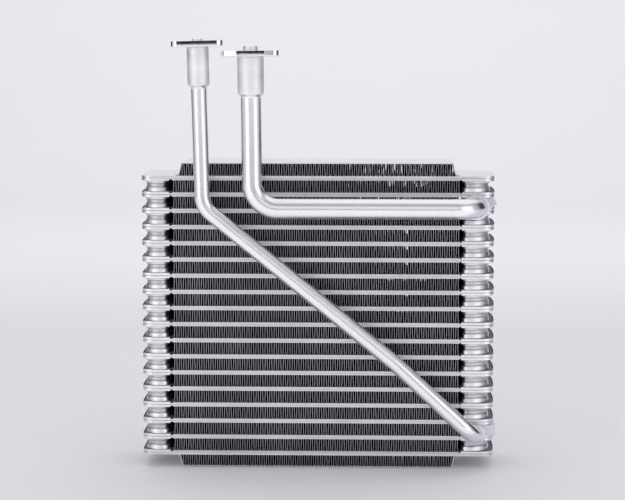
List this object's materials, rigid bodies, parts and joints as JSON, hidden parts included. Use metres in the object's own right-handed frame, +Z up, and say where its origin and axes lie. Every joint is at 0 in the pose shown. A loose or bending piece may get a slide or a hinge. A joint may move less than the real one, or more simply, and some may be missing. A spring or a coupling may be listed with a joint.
{
  "type": "evaporator core",
  "caption": "Laminated aluminium evaporator core: stacked flow plates with end tanks, corrugated fins between them and two bent pipes with flange plates.",
  "frame": {"origin": "middle of the lower side plate's underside", "axes": "+X from the left tank to the tank with the ports, +Y from the pipe side to the far side, +Z up"},
  "size_m": [0.2276, 0.09, 0.2763],
  "materials": {
    "plate": "brazed satin sheet",
    "fin": "thin rolled strip",
    "side_plate": "brazed satin sheet",
    "pipe": "drawn tube, soft sheen",
    "flange": "machined plate",
    "port": "machined block"
  },
  "bodies": {
    "root": {"end_plate_top": "plate", "flow_plate_top": "plate", "flow_plate_pair_02": "plate", "flow_plate_pair_03": "plate", "flow_plate_pair_04": "plate", "flow_plate_pair_05": "plate", "flow_plate_pair_06": "plate", "flow_plate_pair_07": "plate", "flow_plate_pair_08": "plate", "flow_plate_pair_09": "plate", "flow_plate_pair_10": "plate", "flow_plate_pair_11": "plate", "flow_plate_pair_12": "plate", "flow_plate_pair_13": "plate", "flow_plate_pair_14": "plate", "flow_plate_pair_15": "plate", "flow_plate_pair_16": "plate", "flow_plate_pair_17": "plate", "flow_plate_bottom": "plate", "end_plate_bottom": "plate", "fin_01": "fin", "fin_02": "fin", "fin_03": "fin", "fin_04": "fin", "fin_05": "fin", "fin_06": "fin", "fin_07": "fin", "fin_08": "fin", "fin_09": "fin", "fin_10": "fin", "fin_11": "fin", "fin_12": "fin", "fin_13": "fin", "fin_14": "fin", "fin_15": "fin", "fin_16": "fin", "fin_17": "fin", "fin_18": "fin", "fin_19": "fin", "side_plate_top": "side_plate", "side_plate_bottom": "side_plate", "suction_pipe": "pipe", "suction_pipe_end": "pipe", "suction_flange": "flange", "suction_port": "port", "liquid_pipe": "pipe", "liquid_pipe_end": "pipe", "liquid_flange": "flange", "liquid_port": "port"}
  },
  "joints": []
}
